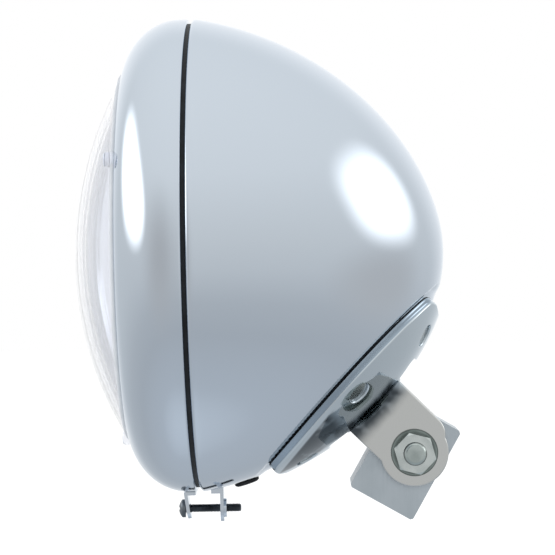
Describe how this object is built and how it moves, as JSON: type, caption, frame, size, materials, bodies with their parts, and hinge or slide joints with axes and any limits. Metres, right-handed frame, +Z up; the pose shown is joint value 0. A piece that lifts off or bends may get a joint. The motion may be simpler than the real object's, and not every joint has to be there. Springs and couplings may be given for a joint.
{
  "type": "round motorcycle headlight",
  "caption": "Round chromed motorcycle headlight with a domed glass, deep bowl housing, seam clamp and a two-armed bracket that tilts on a bolt through a stud block.",
  "frame": {"origin": "centre of the stud hole's mouth in the lower face of the mount block", "axes": "+Z up with the lamp axis level, +X towards the rear of the lamp, so the glass faces -X, +Y across"},
  "size_m": [0.1331, 0.165, 0.1758],
  "materials": {
    "chrome_housing": "polished chrome on pressed steel",
    "chrome_rim": "polished chrome on pressed steel",
    "chrome_bracket": "polished chrome on formed steel",
    "lens_glass": "clear pressed glass with fluting on its inner face",
    "silvered_reflector": "vacuum silvered bowl",
    "bulb_glass": "clear bulb glass",
    "bright_steel": "bright zinc plated steel",
    "zinc_steel": "zinc plated machined steel",
    "black_steel": "black oxide machined steel",
    "black_rubber": "moulded black rubber",
    "black_plastic": "moulded black plastic",
    "satin_aluminium": "satin milled aluminium"
  },
  "bodies": {
    "mount": {"mount_block": "satin_aluminium"},
    "lamp": {"bucket": "chrome_housing", "bezel": "chrome_rim", "lens": "lens_glass", "reflector": "silvered_reflector", "bulb_glass": "bulb_glass", "bulb_base": "bright_steel", "bulb_connector": "black_plastic", "bulb_clip": "bright_steel", "bulb_boot": "black_rubber", "lens_gasket": "black_rubber", "beam_clips": "bright_steel", "seam_seal": "black_rubber", "bezel_tab": "chrome_rim", "bucket_tab": "chrome_housing", "clamp_screw": "black_steel", "mount_bracket": "chrome_bracket", "bracket_gasket": "black_rubber", "backing_plate": "bright_steel", "bracket_screws": "bright_steel", "wire_grommet": "black_rubber", "pivot_bolt": "zinc_steel", "pivot_washers": "zinc_steel", "pivot_nut": "zinc_steel"}
  },
  "joints": [
    {"name": "aim_tilt", "type": "hinge", "parent": "mount", "child": "lamp", "pos_m": [0.01177, 0, 0.01768], "axis": [0, 1, 0], "range_deg": [-25, 25]}
  ]
}
